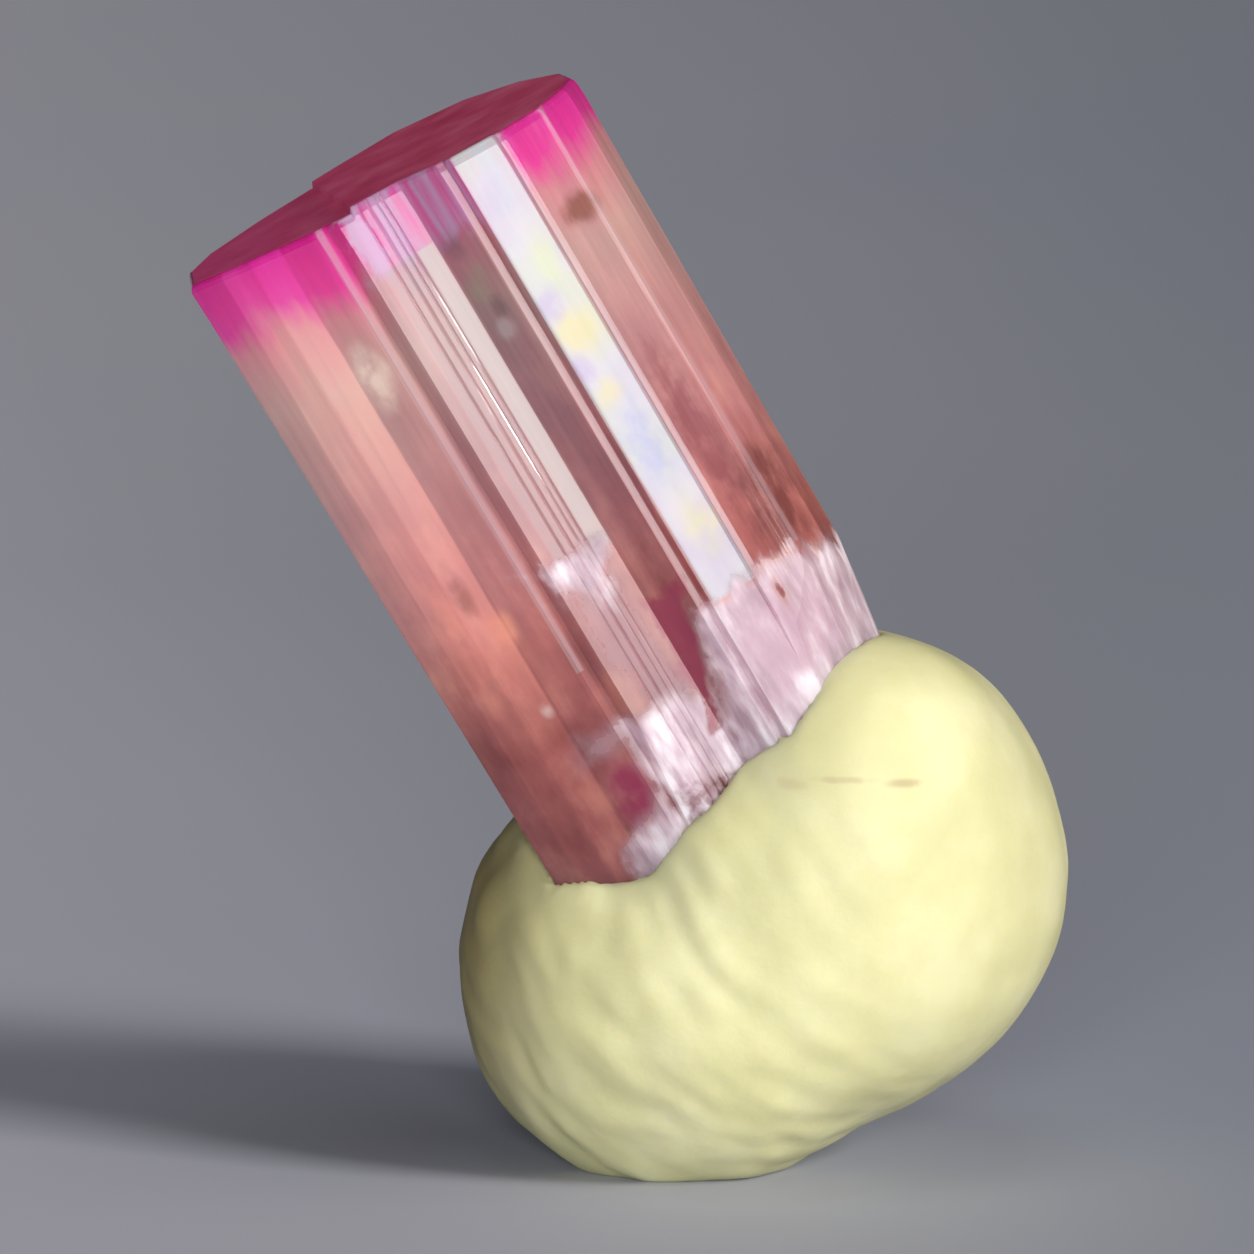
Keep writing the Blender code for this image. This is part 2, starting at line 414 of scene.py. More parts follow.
def putty_point(direction):
    """Where the pressed ball's surface lies in a direction from its centre."""
    flat = math.hypot(direction.x, direction.z)
    across = flat / putty_radius(math.atan2(direction.z, direction.x) % (2 * math.pi))
    deep = abs(direction.y) / PUTTY_HALF_DEPTH
    power = PUTTY_SQUARENESS
    reach = (across**power + deep**power) ** (-1 / power)
    for middle, change, spread in PUTTY_PRESSES:
        away = direction.angle(Vector(middle)) / math.radians(spread)
        reach += change * MM * math.exp(-away * away)
    return PUTTY_CENTRE + direction * reach


def hand_marks(point, direction):
    """How far kneading and the finger's print lift the surface at a point, in millimetres."""
    place = point / MM
    soft, dents, grain = (
        height * noise.noise(place * waves + shift) for height, waves, shift in KNEADING
    )
    wander = RIDGE_WANDER * noise.noise(place * 0.6 + Vector((0, 7, 0)))
    across = place.dot(RIDGE_NORMAL) + wander
    along = place.dot(RIDGE_ALONG) / RIDGE_LENGTH
    aside = place.dot(RIDGE_NORMAL.cross(RIDGE_ALONG)) / RIDGE_LENGTH
    dashes = noise.noise(Vector((across / RIDGE_SPACING * 1.1, along, aside)))
    facing = min(max((direction.dot(PRINT_SIDE) - PRINT_FROM) / PRINT_BLEND, 0), 1)
    share = PRINT_LEAST + (1 - PRINT_LEAST) * facing
    return soft + dents + grain + RIDGE_HEIGHT * dashes * share


def distance_to_prism(point):
    """How far a point in the crystal's frame is outside the prism's sides, in millimetres."""
    scale = 1 - (BASE_TAPER - 1) * point.z / (CRYSTAL_LENGTH / MM)
    spot = Vector((point.x, point.y)) / scale
    nearest = 1e9
    inside = True
    count = len(PRISM_SIDES)
    for place in range(count):
        start = Vector(PRISM_SIDES[place][0])
        along = Vector(PRISM_SIDES[(place + 1) % count][0]) - start
        share = min(max((spot - start).dot(along) / along.length_squared, 0), 1)
        nearest = min(nearest, (spot - start - along * share).length)
        if along.x * (spot.y - start.y) - along.y * (spot.x - start.x) < 0:
            inside = False
    return -nearest if inside else nearest


def distance_to_crystal(point, chips):
    """How far a point in the crystal's frame is outside the chipped crystal, in millimetres."""
    beyond = [(point - edge / MM).dot(normal) for edge, normal in chips]
    return max(beyond + [distance_to_prism(point)])


def lip_lift(distance):
    """How far the putty bulges up against the crystal, and rounds off at the contact."""
    gap = max(distance, 0)
    bulge = LIP_HEIGHT * math.exp(-((gap / LIP_REACH) ** 2))
    return bulge - LIP_ROUND * math.exp(-gap / LIP_ROUND_WIDTH)


def socket_shape():
    """The crystal's plain foot, grown by the contact gap."""
    corners = [Vector(corner) for corner, _ in PRISM_SIDES]
    grown = [corner * (1 + CONTACT_GAP / MM / corner.length) for corner in corners]
    rings = []
    for height, scale in ((-CRYSTAL_LENGTH / MM - 0.1, BASE_TAPER), (0.0, 1.0)):
        rings.append([Vector((p.x * scale, p.y * scale, height)) * MM for p in grown])
    bm = prism(rings)
    chip_lower_end(bm, air=CONTACT_GAP)
    bmesh.ops.transform(bm, matrix=crystal_placement(), verts=bm.verts)
    mesh = bpy.data.meshes.new("socket")
    bm.to_mesh(mesh)
    bm.free()
    return bpy.data.objects.new("socket", mesh)


def build_putty(finish):
    """The kneaded ball, pressed round the crystal's foot and flat where it rests."""
    bm = bmesh.new()
    bmesh.ops.create_cube(bm, size=2)
    bmesh.ops.subdivide_edges(bm, edges=bm.edges, cuts=PUTTY_CUTS, use_grid_fill=True)
    inverse = crystal_placement().inverted()
    axis = crystal_placement().to_3x3() @ Vector((0, 0, 1))
    chips = chip_planes()
    for vert in bm.verts:
        direction = vert.co.normalized()
        point = putty_point(direction)
        point += direction * hand_marks(point, direction) * MM
        own = inverse @ point / MM
        if own.z < LIP_TOP and (point - PUTTY_CENTRE).dot(axis) > 0:
            point += axis * lip_lift(distance_to_crystal(own, chips)) * MM
        point.z = max(point.z, 0)
        vert.co = point
    piece = finished(bm, "putty_finished", finish, "putty_base", sharp=50)
    socket = socket_shape()
    bpy.context.scene.collection.objects.link(socket)
    cut = piece.modifiers.new("socket", "BOOLEAN")
    cut.operation = "DIFFERENCE"
    cut.solver = "MANIFOLD"
    cut.object = socket
    shape = bpy.data.meshes.new_from_object(
        piece.evaluated_get(bpy.context.evaluated_depsgraph_get())
    )
    piece.modifiers.clear()
    piece.data = shape
    bpy.data.objects.remove(socket)
    return piece


# Places on the crystal, in its own frame in millimetres, for its colours

TOURMALINE_IOR = 1.63
# Tone of each side from left to right along x: 0 is dark, 1 light.
SECTOR_TONES = [
    (-3.60, 0.50),
    (-3.02, 0.80),
    (-2.50, 1.00),
    (-1.92, 0.40),
    (-1.28, 0.55),
    (-1.10, 0.25),
    (-0.64, 0.42),
    (0.34, 0.12),
    (1.03, 0.45),
    (1.17, 0.05),
    (1.32, 0.95),
    (2.09, 0.35),
    (2.20, 0.34),
    (2.89, 0.60),
    (3.00, 0.48),
]
SECTOR_EDGE = 0.02
SECTOR_SPAN = (-3.7, 3.7)

# Colours from the cap down: (depth under the cap, in a dark sector, in a light sector).
DEPTH_TONES = [
    (0.0, "d01a80", "ff30a4"),
    (0.9, "da3090", "ff54b4"),
    (1.5, "b47482", "fcb0b2"),
    (2.6, "a48688", "fccabe"),
    (4.5, "9c747e", "fcbeb8"),
    (6.5, "a87078", "fcb0aa"),
    (8.0, "a05a5c", "f8a494"),
    (9.5, "7c3e44", "b8685e"),
    (12.0, "6e343a", "8e4a4a"),
]
DEPTH_SPAN = 14.0

# Frayed spots of one tone: colour, middle, radii and strength.
SPOTS = [
    ("f6e0d2", (-1.66, -3.2, -2.75), (0.42, 0.8, 0.85), 0.90),
    ("8a5242", (2.70, -2.9, -2.05), (0.52, 0.8, 0.42), 0.80),
    ("f8a898", (-2.72, -2.8, -6.9), (0.50, 1.0, 0.95), 0.75),
    ("f8a890", (-1.98, -3.0, -7.5), (0.36, 1.0, 0.55), 0.80),
    ("8c4c46", (-2.30, -2.9, -6.6), (0.26, 1.0, 0.80), 0.50),
    ("f2e2de", (-2.03, -3.0, -9.0), (0.17, 0.4, 0.22), 0.50),
    ("b8a0ae", (-0.15, -3.3, -1.65), (0.62, 0.8, 0.62), 0.60),
    ("a49a84", (0.62, -3.2, -2.20), (0.40, 0.6, 0.50), 0.70),
    ("7c6268", (0.60, -3.2, -1.50), (0.34, 0.6, 0.45), 0.60),
    ("7a6664", (0.78, -3.2, -2.75), (0.26, 0.6, 0.34), 0.60),
    ("c4b8b8", (0.66, -3.2, -3.15), (0.26, 0.6, 0.30), 0.60),
    ("8a4450", (2.50, -3.0, -6.2), (0.55, 0.8, 2.80), 0.60),
    ("723c3a", (3.05, -2.6, -7.8), (0.95, 1.6, 1.70), 0.75),
]
# Maroon glass left bare between the frosted spots.
BARE_SPOTS = [
    ("9a2c58", (-1.48, -3.1, -10.95), (0.58, 0.9, 1.05), 0.90),
    ("7c3034", (-0.16, -3.2, -11.45), (0.36, 0.6, 0.62), 0.90),
    ("8a4458", (2.33, -3.0, -9.25), (0.16, 0.6, 0.40), 0.60),
]

# Rainbow tints under the broad face, as of a healed crack just under it, painted where the face
# mirrors the light: partly painted reflection.
PASTEL_SPOTS = [
    ("bcd29a", (1.82, -3.4, -2.4), (0.40, 0.6, 0.70), 0.6),
    ("d0ca70", (1.70, -3.4, -3.75), (0.60, 0.6, 0.70), 0.6),
    ("9c92ce", (1.46, -3.4, -3.1), (0.44, 0.6, 0.50), 0.6),
    ("9c92ce", (1.36, -3.4, -4.4), (0.34, 0.6, 0.50), 0.6),
    ("d0ca7c", (1.58, -3.4, -4.9), (0.34, 0.6, 0.44), 0.6),
    ("96aad2", (1.72, -3.4, -5.9), (0.60, 0.6, 1.30), 0.8),
    ("c6ca90", (1.80, -3.4, -7.6), (0.45, 0.6, 0.75), 0.8),
]

# Zones between straight edges: each edge is a direction in x and z and where along it they start.
FRONT_EDGE = [(Vector((0, -1, 0)), 2.0)]
BROKEN_SIDE_ZONE = [((0, -1), 8.70), ((1, -0.24), 2.98), ((-0.75, -1), 6.60)]
FROST_ZONES = [
    [((1.10, 0.85), -7.05), ((-1.12, 0.42), -3.2), ((0, -1), 6.92)],
    [((0, -1), 9.85), ((1, 0), -1.12), ((-1, 0), -0.55)],
    [((0.80, -0.95), 9.50), ((1, 0), -2.05), ((-1, 0), 0.90)],
]
VEIL_ZONES = [
    [((1, 0.12), -1.75), ((-1, 0), -0.20), ((0, -1), 7.6)],
    [((0, -1), 9.8), ((0, 1), -10.15), ((1, 0), -1.9), ((-1, 0), 0.9)],
]
# Lilac at the top of the front faces: partly a pale veil in the crystal, partly painted glare.
LILAC_ZONE = [((0, 1), -1.42), ((1, 0), -0.84), ((-1, 0), -2.12)]
BRIGHT_LILAC_ZONE = [((0, 1), -1.35), ((1, 0), -0.84), ((-1, 0), 0.46)]
WEDGE_ZONE = [((-1, 0.24), -2.94), ((1, 0), 0.22), ((0, -1), 8.2), ((0, 1), -10.6)]
# The broad, mirror-bright face, painted pale: partly a veil, partly painted reflection of its
# glare.
BROAD_FACE_ZONE = [((1, 0), 1.30), ((-1, 0), -2.09), ((0, 1), -8.8)]
# The grooved face painted paler, partly a veil and partly painted glare, and a band on it painted
# near white as a painted highlight.
GROOVED_FACE_ZONE = [((1, 0), -0.62), ((-1, 0), -0.33), ((0, 1), -7.1), ((0, -1), 1.3)]
GLARE_BAND_ZONE = [((1, 0), 0.02), ((-1, 0), -0.32), ((0, 1), -7.1), ((0, -1), 1.3)]
# Painted highlights: narrow pale lines along the edges between faces, from and to in x.
EDGE_HIGHLIGHTS = [(-1.27, -1.14), (1.05, 1.16), (2.10, 2.19), (2.91, 2.98)]
CONTACT_ZONE = [((-0.25, -1), 11.38), ((1, 0), -0.95), ((-1, 0), -1.95)]

# Painted shade along faint creases in the putty, in the object's frame: middle, radii and strength.
CREASE_SHADES = [
    ((4.55, -4.4, 7.02), (0.45, 1.6, 0.12), 0.45),
    ((3.55, -4.4, 7.08), (0.75, 1.6, 0.09), 0.30),
    ((2.65, -4.4, 6.98), (0.45, 1.6, 0.16), 0.20),
]


# How strongly a spot's rim frays, and how faint it may get before it ends.
SPOT_FRAY = 3.5
SPOT_RIM = 0.05


def wavy(tree, place, waves, detail=4.0):
    """Noise with that many waves to a unit of the place: a millimetre, on the card a metre."""
    stretched = add(tree, "ShaderNodeVectorMath", {0: place, 1: waves}, operation="MULTIPLY")
    return add(tree, "ShaderNodeTexNoise", {"Vector": stretched, "Scale": 1.0, "Detail": detail})


def around_zero(tree, value, height):
    """A noise value, moved to swing as far below zero as above it."""
    return add(
        tree,
        "ShaderNodeMath",
        {0: value, 1: 2 * height, 2: -height},
        operation="MULTIPLY_ADD",
    )


def spot(tree, place, fray, centre, radii, soft=0.85):
    """1 in the middle of a stretched ball and 0 outside it, frayed at its rim."""
    scale = [1 / radius for radius in radii]
    shift = [-middle / radius for middle, radius in zip(centre, radii)]
    local = add(
        tree,
        "ShaderNodeVectorMath",
        {0: place, 1: scale, 2: shift},
        operation="MULTIPLY_ADD",
    )
    ball = add(
        tree, "ShaderNodeTexGradient", {"Vector": local}, out="Fac", gradient_type="SPHERICAL"
    )
    frayed = add(
        tree, "ShaderNodeMath", {0: fray, 1: SPOT_FRAY, 2: 1.0}, operation="MULTIPLY_ADD"
    )
    frayed = add(tree, "ShaderNodeMath", {0: ball, 1: frayed}, operation="MULTIPLY")
    return add(
        tree,
        "ShaderNodeMapRange",
        {"Value": frayed, "From Min": SPOT_RIM, "From Max": SPOT_RIM + soft},
        interpolation_type="SMOOTHSTEP",
    )


def zone(tree, place, fray, edges, soft=0.12, front=FRONT_EDGE):
    """1 between straight edges on the front, 0 beyond them; its rim is frayed if fray is given."""
    inside = None
    planes = [(Vector((x, 0, z)), start) for (x, z), start in edges] + front
    for way, start in planes:
        reach = add(
            tree,
            "ShaderNodeVectorMath",
            {0: place, 1: way.normalized()},
            out="Value",
            operation="DOT_PRODUCT",
        )
        past = add(tree, "ShaderNodeMath", {0: reach, 1: start / way.length}, operation="SUBTRACT")
        if inside is None:
            inside = past
        else:
            inside = add(tree, "ShaderNodeMath", {0: inside, 1: past}, operation="MINIMUM")
    if fray:
        inside = add(tree, "ShaderNodeMath", {0: inside, 1: fray}, operation="ADD")
    return add(
        tree,
        "ShaderNodeMapRange",
        {"Value": inside, "From Min": -soft, "From Max": soft},
        interpolation_type="SMOOTHSTEP",
    )


def any_of(tree, shares):
    """The largest of several shares."""
    most = shares[0]
    for share in shares[1:]:
        most = add(tree, "ShaderNodeMath", {0: most, 1: share}, operation="MAXIMUM")
    return most


def painted(tree, colour, tone, share, strength=1.0):
    """The colour, covered with a tone by a share."""
    cover = add(tree, "ShaderNodeMath", {0: share, 1: strength}, operation="MULTIPLY")
    if isinstance(tone, str):
        tone = linear(tone)
    return add(tree, "ShaderNodeMix", {0: cover, 6: colour, 7: tone}, out=2, data_type="RGBA")


def crystal_place(tree):
    """Places in the crystal's own frame, in millimetres."""
    place = add(tree, "ShaderNodeTexCoord", out="Object")
    return add(
        tree,
        "ShaderNodeMapping",
        {
            "Vector": place,
            "Location": CAP_CENTRE,
            "Rotation": (0, -LEAN, 0),
            "Scale": (MM, MM, MM),
        },
        vector_type="TEXTURE",
    )


def sector_share(tree, own):
    """How light the side's tone is at a place: 0 dark, 1 light, with fine lengthwise streaks."""
    across = add(tree, "ShaderNodeSeparateXYZ", {"Vector": own}, out="X")
    ragged = around_zero(tree, wavy(tree, own, (2.5, 2.5, 0.5)), 0.05)
    across = add(tree, "ShaderNodeMath", {0: across, 1: ragged}, operation="ADD")
    low, high = SECTOR_SPAN
    along = add(tree, "ShaderNodeMapRange", {"Value": across, "From Min": low, "From Max": high})
    stops = [(0.0, SECTOR_TONES[0][1])]
    for (_, before), (edge, after) in zip(SECTOR_TONES, SECTOR_TONES[1:]):
        stops.append(((edge - SECTOR_EDGE - low) / (high - low), before))
        stops.append(((edge + SECTOR_EDGE - low) / (high - low), after))
    tone = add(tree, "ShaderNodeValToRGB", {"Fac": along}, stops=stops)
    streaks = around_zero(tree, wavy(tree, own, (4.5, 4.5, 0.22), detail=4.0), 0.28)
    streaked = add(tree, "ShaderNodeMath", {0: tone, 1: streaks}, operation="ADD", use_clamp=True)
    return streaked


def depth_colour(tree, own, light_share):
    """Hot pink under the cap, then peach and salmon, then red-brown towards the foot."""
    height = add(tree, "ShaderNodeSeparateXYZ", {"Vector": own}, out="Z")
    ragged = around_zero(tree, wavy(tree, own, (1.6, 1.6, 0.4)), 0.9)
    height = add(tree, "ShaderNodeMath", {0: height, 1: ragged}, operation="ADD")
    depth = add(tree, "ShaderNodeMapRange", {"Value": height, "From Max": -DEPTH_SPAN})
    dark_stops = [(depth_mm / DEPTH_SPAN, dark) for depth_mm, dark, _ in DEPTH_TONES]
    light_stops = [(depth_mm / DEPTH_SPAN, light) for depth_mm, _, light in DEPTH_TONES]
    dark = add(tree, "ShaderNodeValToRGB", {"Fac": depth}, stops=dark_stops)
    light = add(tree, "ShaderNodeValToRGB", {"Fac": depth}, stops=light_stops)
    colour = painted(tree, dark, light, light_share)
    blots = add(
        tree,
        "ShaderNodeValToRGB",
        {"Fac": wavy(tree, own, (1.3, 1.3, 0.8), detail=5.0)},
        stops=[(0.32, "7a3c44"), (0.5, "b0686a"), (0.66, "eca494")],
    )
    share = add(
        tree,
        "ShaderNodeMapRange",
        {"Value": depth, "From Min": 0.12, "From Max": 0.6, "To Max": 0.38},
    )
    return painted(tree, colour, blots, share)


def paint_pale_faces_and_glare(tree, own, fray, colour):
    """Pale veils under the broad faces, partly painted glare: lilac at the top, pastel under the
    mirror-bright one, painted highlights on edges and a band.
    """
    stripes = add(
        tree,
        "ShaderNodeMapRange",
        {"Value": wavy(tree, own, (3.4, 3.4, 0.2)), "From Min": 0.36, "From Max": 0.56},
    )
    # Lilac at the top: partly a pale veil, partly painted glare.
    lilac = zone(tree, own, fray, LILAC_ZONE, soft=0.2)
    lilac = add(tree, "ShaderNodeMath", {0: lilac, 1: stripes}, operation="MULTIPLY")
    colour = painted(tree, colour, "c0a0c4", lilac, 0.85)
    colour = painted(tree, colour, "c8a4cc", zone(tree, own, fray, BRIGHT_LILAC_ZONE, 0.1), 0.8)
    # Pastel veil under the mirror-bright face: partly painted reflection of its glare.
    pastel = add(
        tree,
        "ShaderNodeValToRGB",
        {"Fac": wavy(tree, own, (0.8, 0.8, 0.9), detail=1.0)},
        stops=[
            (0.30, "b0b2ca"),
            (0.50, "bac2cc"),
            (0.70, "b8c6b8"),
        ],
    )
    for tone, centre, radii, strength in PASTEL_SPOTS:
        pastel = painted(tree, pastel, tone, spot(tree, own, fray, centre, radii), strength)
    colour = painted(tree, colour, pastel, zone(tree, own, None, BROAD_FACE_ZONE, 0.03), 0.85)
    # Painted highlights along the edges between faces.
    for low, high in EDGE_HIGHLIGHTS:
        edge = zone(tree, own, None, [((1, 0), low), ((-1, 0), -high), ((0, 1), -8.7)], 0.02)
        colour = painted(tree, colour, "c6acb4", edge, 0.45)
    # The grooved face paler, partly painted glare, and a band on it near white: a painted
    # highlight.
    grooved = zone(tree, own, None, GROOVED_FACE_ZONE, 0.05)
    colour = painted(tree, colour, "ae989e", grooved, 0.55)
    return painted(tree, colour, "cec2be", zone(tree, own, None, GLARE_BAND_ZONE, 0.03), 0.6)


def frost_shares(tree, own, fray):
    """Where broken, frosted glass covers the crystal, and where a thinner veil does."""
    frost = [zone(tree, own, fray, edges, 0.22) for edges in FROST_ZONES]
    frost = any_of(tree, frost + [zone(tree, own, fray, BROKEN_SIDE_ZONE, 0.22, front=[])])
    veil = any_of(tree, [zone(tree, own, fray, edges, 0.30) for edges in VEIL_ZONES])
    bare = any_of(
        tree, [spot(tree, own, fray, centre, radii) for _, centre, radii, _ in BARE_SPOTS]
    )
    bare = any_of(tree, [bare, zone(tree, own, fray, WEDGE_ZONE, 0.12)])
    kept = add(tree, "ShaderNodeMath", {0: 1.0, 1: bare}, operation="SUBTRACT")
    frost = add(tree, "ShaderNodeMath", {0: frost, 1: kept}, operation="MULTIPLY")
    return frost, add(tree, "ShaderNodeMath", {0: veil, 1: kept}, operation="MULTIPLY")


def tourmaline():
    """Tourmaline with natural growth faces: glassy, see-through, hot pink under the cap."""
    made, tree, shader = blank_material("tourmaline, natural growth faces")
    own = crystal_place(tree)
    fray = around_zero(tree, wavy(tree, own, (3.0, 3.0, 2.0), detail=3.0), 0.36)
    light_share = sector_share(tree, own)
    colour = depth_colour(tree, own, light_share)
    for tone, centre, radii, strength in SPOTS + BARE_SPOTS:
        colour = painted(tree, colour, tone, spot(tree, own, fray, centre, radii), strength)
    colour = paint_pale_faces_and_glare(tree, own, fray, colour)
    frost, veil = frost_shares(tree, own, fray)
    fibres = wavy(tree, own, (3.0, 3.0, 0.9), detail=5.0)
    frost_tone = add(
        tree,
        "ShaderNodeValToRGB",
        {"Fac": fibres},
        stops=[(0.34, "a08692"), (0.50, "c0a8b4"), (0.64, "e4d6de")],
    )
    colour = painted(tree, colour, "a63a5c", zone(tree, own, fray, WEDGE_ZONE, 0.12), 0.8)
    colour = painted(tree, colour, "ae909a", veil, 0.65)
    middle = spot(tree, own, fray, (2.0, -2.8, -9.9), (1.7, 2.4, 1.6), soft=0.8)
    frost_tone = painted(tree, frost_tone, "ae8c9e", middle, 0.65)
    colour = painted(tree, colour, frost_tone, frost)
    specks = wavy(tree, own, (5.0, 5.0, 5.0), detail=2.0)
    specks = add(tree, "ShaderNodeMapRange", {"Value": specks, "From Min": 0.42, "From Max": 0.62})
    seam = zone(tree, own, fray, CONTACT_ZONE, 0.10)
    specks = add(tree, "ShaderNodeMath", {0: seam, 1: specks}, operation="MULTIPLY")
    colour = painted(tree, colour, "6c2c30", specks, 0.65)
    tree.links.new(colour, shader.inputs["Base Color"])
    veiled = add(tree, "ShaderNodeMath", {0: veil, 1: 0.5}, operation="MULTIPLY")
    cloudy = any_of(tree, [frost, veiled])
    bright = add(tree, "ShaderNodeMath", {0: light_share, 1: 0.6}, operation="MULTIPLY")
    closed = any_of(tree, [cloudy, bright])
    clear = add(tree, "ShaderNodeMapRange", {"Value": closed, "To Min": 0.40, "To Max": 0.05})
    tree.links.new(clear, shader.inputs["Transmission Weight"])
    matt = add(tree, "ShaderNodeMath", {0: cloudy, 1: 0.45, 2: 0.11}, operation="MULTIPLY_ADD")
    tree.links.new(matt, shader.inputs["Roughness"])
    fine = wavy(tree, own, (16.0, 16.0, 0.8), detail=3.0)
    strength = add(tree, "ShaderNodeMath", {0: cloudy, 1: 0.35, 2: 0.10}, operation="MULTIPLY_ADD")
    bump = add(
        tree, "ShaderNodeBump", {"Strength": strength, "Distance": 0.02 * MM, "Height": fine}
    )
    tree.links.new(bump, shader.inputs["Normal"])
    shader.inputs["Subsurface Weight"].default_value = 0.6
    shader.inputs["Subsurface Radius"].default_value = (1.0, 0.55, 0.5)
    shader.inputs["Subsurface Scale"].default_value = 2.5 * MM
    shader.inputs["IOR"].default_value = TOURMALINE_IOR
    tint = add(tree, "ShaderNodeVolumeAbsorption", {"Color": linear("f7b3b8"), "Density": 110.0})
    tree.links.new(tint, tree.nodes["Material Output"].inputs["Volume"])
    return made


def flat_end():
    """The crystal's flat end: smooth, deep maroon, a little pinker on the side that lies lower."""
    made, tree, shader = blank_material("tourmaline, flat end face")
    own = crystal_place(tree)
    mottle = add(
        tree,
        "ShaderNodeValToRGB",
        {"Fac": wavy(tree, own, (0.9, 0.9, 0.9), detail=5.0)},
        stops=[(0.32, "e2507a"), (0.5, "f2648c"), (0.68, "fc7ca0")],
    )
    across = add(tree, "ShaderNodeSeparateXYZ", {"Vector": own}, out="X")
    pinker = add(tree, "ShaderNodeMapRange", {"Value": across, "From Min": 0.5, "From Max": -3.5})
    colour = painted(tree, mottle, "f4589c", pinker, 0.7)
    tree.links.new(colour, shader.inputs["Base Color"])
    pits = wavy(tree, own, (3.0, 3.0, 3.0), detail=5.0)
    bump = add(tree, "ShaderNodeBump", {"Strength": 0.15, "Distance": 0.02 * MM, "Height": pits})
    tree.links.new(bump, shader.inputs["Normal"])
    matt = add(tree, "ShaderNodeMapRange", {"Value": pits, "To Min": 0.5, "To Max": 0.7})
    tree.links.new(matt, shader.inputs["Roughness"])
    shader.inputs["Specular IOR Level"].default_value = 0.03
    shader.inputs["IOR"].default_value = TOURMALINE_IOR
    return made


def mounting_putty():
    """Oil-bound putty, kneaded by hand: matt, a little waxy, with grit, and painted shade over its
    left side and along faint creases.
    """
    made, tree, shader = blank_material("mounting putty, kneaded")
    place = add(tree, "ShaderNodeTexCoord", out="Object")
    own = add(
        tree, "ShaderNodeMapping", {"Vector": place, "Scale": (MM, MM, MM)}, vector_type="TEXTURE"
    )
    cloud = wavy(tree, own, (0.7, 0.7, 0.7))
    colour = add(
        tree,
        "ShaderNodeValToRGB",
        {"Fac": cloud},
        stops=[(0.35, "c9c695"), (0.5, "cecb9b"), (0.65, "d4d1a5")],
    )
    # Painted shade: olive-brown over the putty's left side and beside the crystal's foot, for the
    # dark falloff at its left edge and the crystal's tinted shadow.
    left_shade = spot(tree, own, around_zero(tree, cloud, 0.12), (-3.3, -0.5, 4.6), (3.2, 9.0, 7.5))
    colour = painted(tree, colour, "725a0c", left_shade, 0.75)
    fray = around_zero(tree, wavy(tree, own, (4.0, 4.0, 3.0)), 0.3)
    # Painted shade in the creases: darker brown lines.
    for centre, radii, strength in CREASE_SHADES:
        crease_shade = spot(tree, own, fray, centre, radii)
        colour = painted(tree, colour, "98785c", crease_shade, strength)
    tree.links.new(colour, shader.inputs["Base Color"])
    grit = wavy(tree, own, (9.0, 9.0, 9.0))
    bump = add(tree, "ShaderNodeBump", {"Strength": 0.3, "Distance": 0.02 * MM, "Height": grit})
    tree.links.new(bump, shader.inputs["Normal"])
    matt = add(tree, "ShaderNodeMapRange", {"Value": cloud, "To Min": 0.5, "To Max": 0.7})
    tree.links.new(matt, shader.inputs["Roughness"])
    shader.inputs["Subsurface Weight"].default_value = 0.35
    shader.inputs["Subsurface Radius"].default_value = (1.0, 0.65, 0.25)
    shader.inputs["Subsurface Scale"].default_value = 0.9 * MM
    shader.inputs["IOR"].default_value = 1.45
    return made


# The card is painted lighter on the left than on the right, as light that falls off across it, over
# this far each way from the middle.
CARD_SPAN = 14 * MM


def pale_card():
    """Matt pale card under and behind the specimen, with a faint cloudiness and painted light that
    is brighter on the left.
    """
    made, tree, shader = blank_material("pale grey card")
    place = add(tree, "ShaderNodeTexCoord", out="Object")
    cloud = wavy(tree, place, (18.0, 18.0, 18.0))
    across = add(tree, "ShaderNodeSeparateXYZ", {"Vector": place}, out="X")
    span = {"From Min": -CARD_SPAN, "From Max": CARD_SPAN}
    across = add(tree, "ShaderNodeMapRange", {"Value": across, **span})
    tones = []
    for thin, thick in (("b3b5c6", "b8b9c6"), ("9197aa", "979cab")):
        stops = [(0.3, thin), (0.7, thick)]
        tones.append(add(tree, "ShaderNodeValToRGB", {"Fac": cloud}, stops=stops))
    # Painted light: the lighter tone on the left, the darker on the right.
    colour = painted(tree, tones[0], tones[1], across)
    tree.links.new(colour, shader.inputs["Base Color"])
    shader.inputs["Roughness"].default_value = 0.75
    return made


# The studio

FLOOR_HALF = 1.5
LIT_POINT = Vector((0, 0, 9)) * MM
# Each soft light: name, azimuth and elevation in degrees, distance and size in metres, how much
# light white returns, and its tint.
LIGHTS = [
    ("key", 55, 25, 1.20, (0.36, 0.36), 0.90, "fffaf2"),
    ("fill", -2, 10, 0.80, (0.25, 0.12), 0.80, "ffffff"),
    ("softbox", 27.7, 6.6, 0.30, (0.08, 0.06), 0.065, "ffffff"),
    ("top", 0, 80, 0.80, (0.40, 0.40), 0.10, "ffffff"),
]
ROOM_TINT = "ccc6c0"
ROOM_LIGHT = 0.03

# The camera: a long lens, whose frame is as wide as the photograph at 60 pixels a millimetre.
SENSOR_WIDTH = 36
FRAME_WIDTH = 1254 / 60 * MM
CAMERA_DISTANCE = 0.4
CAMERA_RISE = math.radians(9)
CAMERA_TARGET = Vector((-0.017, 0, 8.93)) * MM


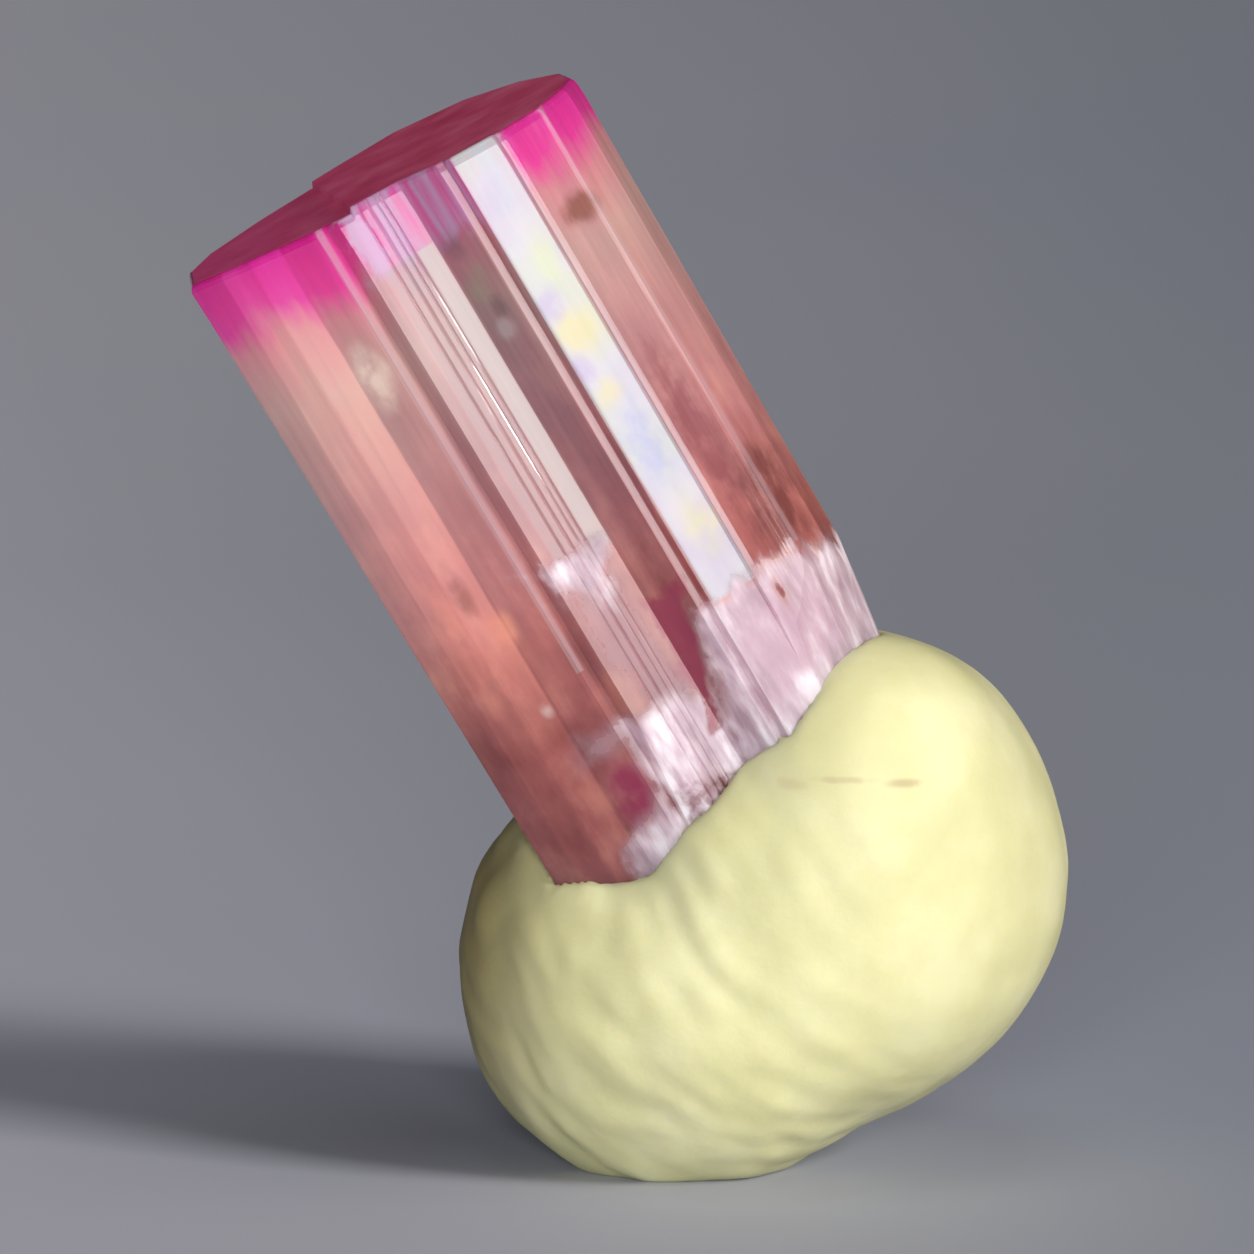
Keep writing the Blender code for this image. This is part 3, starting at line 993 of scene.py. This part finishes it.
def build_floor(finish):
    """One flat sheet, large enough to fill the view."""
    bm = bmesh.new()
    bmesh.ops.create_grid(bm, x_segments=4, y_segments=4, size=FLOOR_HALF)
    mesh = bpy.data.meshes.new("floor")
    bm.to_mesh(mesh)
    bm.free()
    mesh.materials.append(finish)
    floor = bpy.data.objects.new("floor", mesh)
    bpy.context.scene.collection.objects.link(floor)


def soft_light(name, azimuth, elevation, distance, size, lit, colour):
    """A rectangular soft light. Azimuth is from the front towards +X; lit is what white returns."""
    light = bpy.data.lights.new(name, "AREA")
    light.shape = "RECTANGLE"
    light.size, light.size_y = size
    light.energy = lit * math.pi * math.pi * distance**2
    light.color = linear(colour)[:3]
    holder = bpy.data.objects.new(name, light)
    turn, rise = math.radians(azimuth), math.radians(elevation)
    flat = math.cos(rise)
    aim = Vector((math.sin(turn) * flat, -math.cos(turn) * flat, math.sin(rise)))
    holder.location = LIT_POINT + aim * distance
    holder.rotation_euler = aim.to_track_quat("Z", "Y").to_euler()
    bpy.context.scene.collection.objects.link(holder)


def build_lights():
    """A key from the right, a fill from the front, a softbox that the broad faces mirror."""
    for light in LIGHTS:
        soft_light(*light)
    room = bpy.data.worlds.new("room")
    room.use_nodes = True
    sky = room.node_tree.nodes["Background"]
    sky.inputs["Color"].default_value = linear(ROOM_TINT)
    sky.inputs["Strength"].default_value = ROOM_LIGHT
    bpy.context.scene.world = room


def build_camera():
    """A long lens, 9 degrees above the table, 400 mm away; the frame is 20.9 mm wide."""
    camera = bpy.data.cameras.new("camera")
    camera.sensor_width = SENSOR_WIDTH
    camera.lens = SENSOR_WIDTH * CAMERA_DISTANCE / FRAME_WIDTH
    camera.clip_start = 0.01
    holder = bpy.data.objects.new("camera", camera)
    aim = Vector((0, -math.cos(CAMERA_RISE), math.sin(CAMERA_RISE)))
    holder.location = CAMERA_TARGET + aim * CAMERA_DISTANCE
    holder.rotation_euler = aim.to_track_quat("Z", "Y").to_euler()
    bpy.context.scene.collection.objects.link(holder)
    bpy.context.scene.camera = holder


def main():
    build_camera()
    build_lights()
    build_floor(pale_card())
    build_crystal(tourmaline(), flat_end())
    build_putty(mounting_putty())
    bpy.context.scene.view_settings.view_transform = "Standard"


main()
